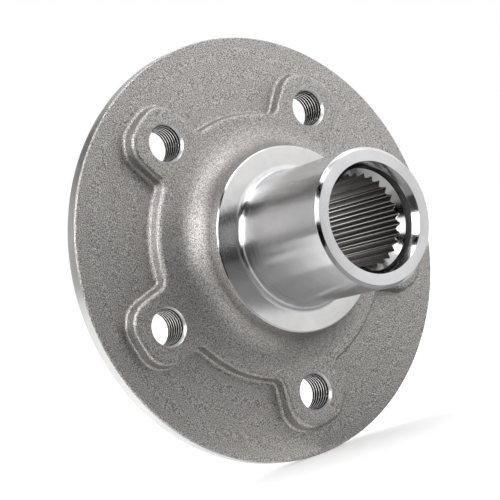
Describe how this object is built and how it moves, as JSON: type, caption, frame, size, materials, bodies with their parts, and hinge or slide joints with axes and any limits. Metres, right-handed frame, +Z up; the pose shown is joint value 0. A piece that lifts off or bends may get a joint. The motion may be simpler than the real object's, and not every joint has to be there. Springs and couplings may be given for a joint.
{
  "type": "wheel hub",
  "caption": "Driven wheel hub with a round flange, a lobed bolt pad, a bearing journal with a shoulder, a splined bore and a stepped centring spigot.",
  "frame": {"origin": "centre of the brake disc's face on the spin axis, which is the centre of the bolt circle", "axes": "+Y along the spin axis towards the wheel, -Y towards the journal's end, +Z up with one bolt hole straight below the axis"},
  "size_m": [0.158, 0.0863, 0.158],
  "materials": {
    "forged_skin": "as forged and shot-blasted, with a fine even grain",
    "turned_steel": "fine turned",
    "ground_steel": "ground and polished",
    "dark_cut_steel": "cut and oiled, dark in its grooves"
  },
  "bodies": {
    "root": {"flange_disc": "forged_skin", "bolt_pad": "forged_skin", "hub_neck": "forged_skin", "bearing_shoulder": "turned_steel", "bearing_journal": "ground_steel", "drive_spline": "dark_cut_steel", "nut_seat": "turned_steel", "wheel_spigot": "turned_steel"}
  },
  "joints": []
}
